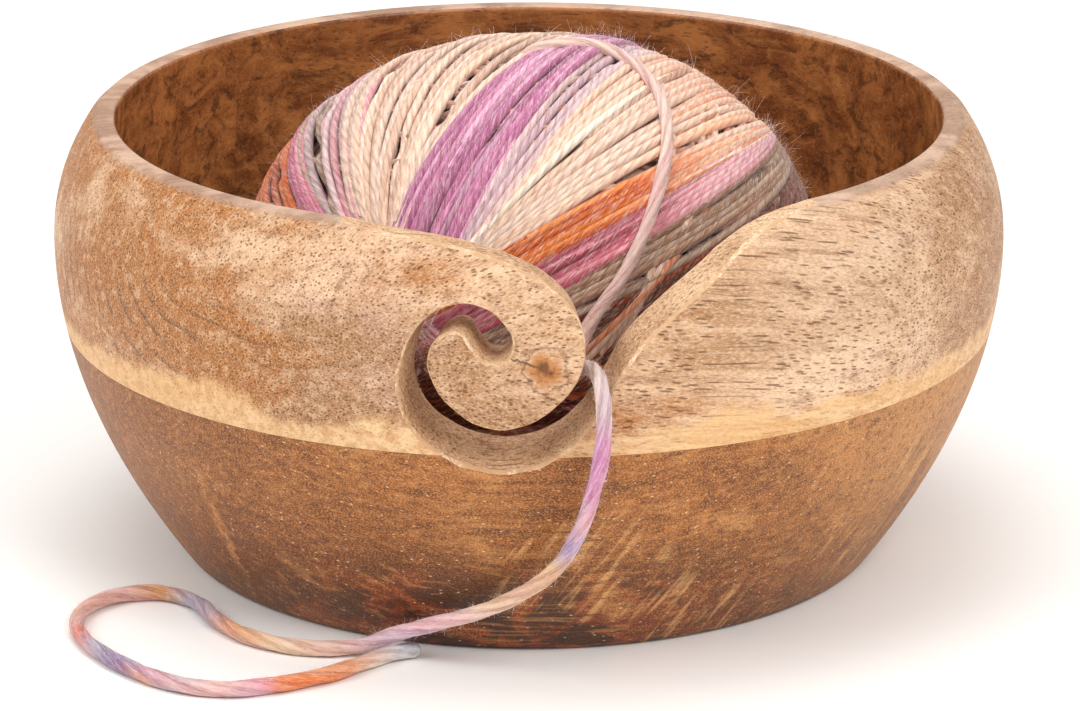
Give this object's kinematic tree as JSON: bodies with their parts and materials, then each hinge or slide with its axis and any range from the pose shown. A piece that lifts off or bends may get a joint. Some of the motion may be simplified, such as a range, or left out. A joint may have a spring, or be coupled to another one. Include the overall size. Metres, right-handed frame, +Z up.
{
  "type": "yarn bowl",
  "caption": "Turned wooden bowl with a scroll-shaped slot in its wall, holding a ball of yarn whose strand leaves through the slot and lies in a loop on the table.",
  "frame": {"origin": "centre of the bowl's foot, on the surface it stands on", "axes": "+Z up, the slot and the throat face -Y, +X to the right seen from the slot"},
  "size_m": [0.178, 0.1825, 0.0987],
  "materials": {
    "dark_wood": "oiled, dark red-brown with lighter flame figure",
    "pale_wood": "oiled, light tan with short dark pores and a straw sapwood band",
    "wound_yarn": "plied wool yarn in bands of cream, mauve, pink, orange and grey",
    "loose_yarn": "plied wool yarn, pale pink running to cream, orange and grey"
  },
  "bodies": {
    "bowl": {"base_block": "dark_wood", "rim_block": "pale_wood", "working_yarn": "loose_yarn"},
    "yarn_ball": {"yarn_ball": "wound_yarn", "yarn_lead": "loose_yarn"}
  },
  "joints": [
    {"name": "yarn_ball_lift", "type": "slide", "parent": "bowl", "child": "yarn_ball", "axis": [0, 0, 1], "range_m": [0, 0.09]}
  ]
}
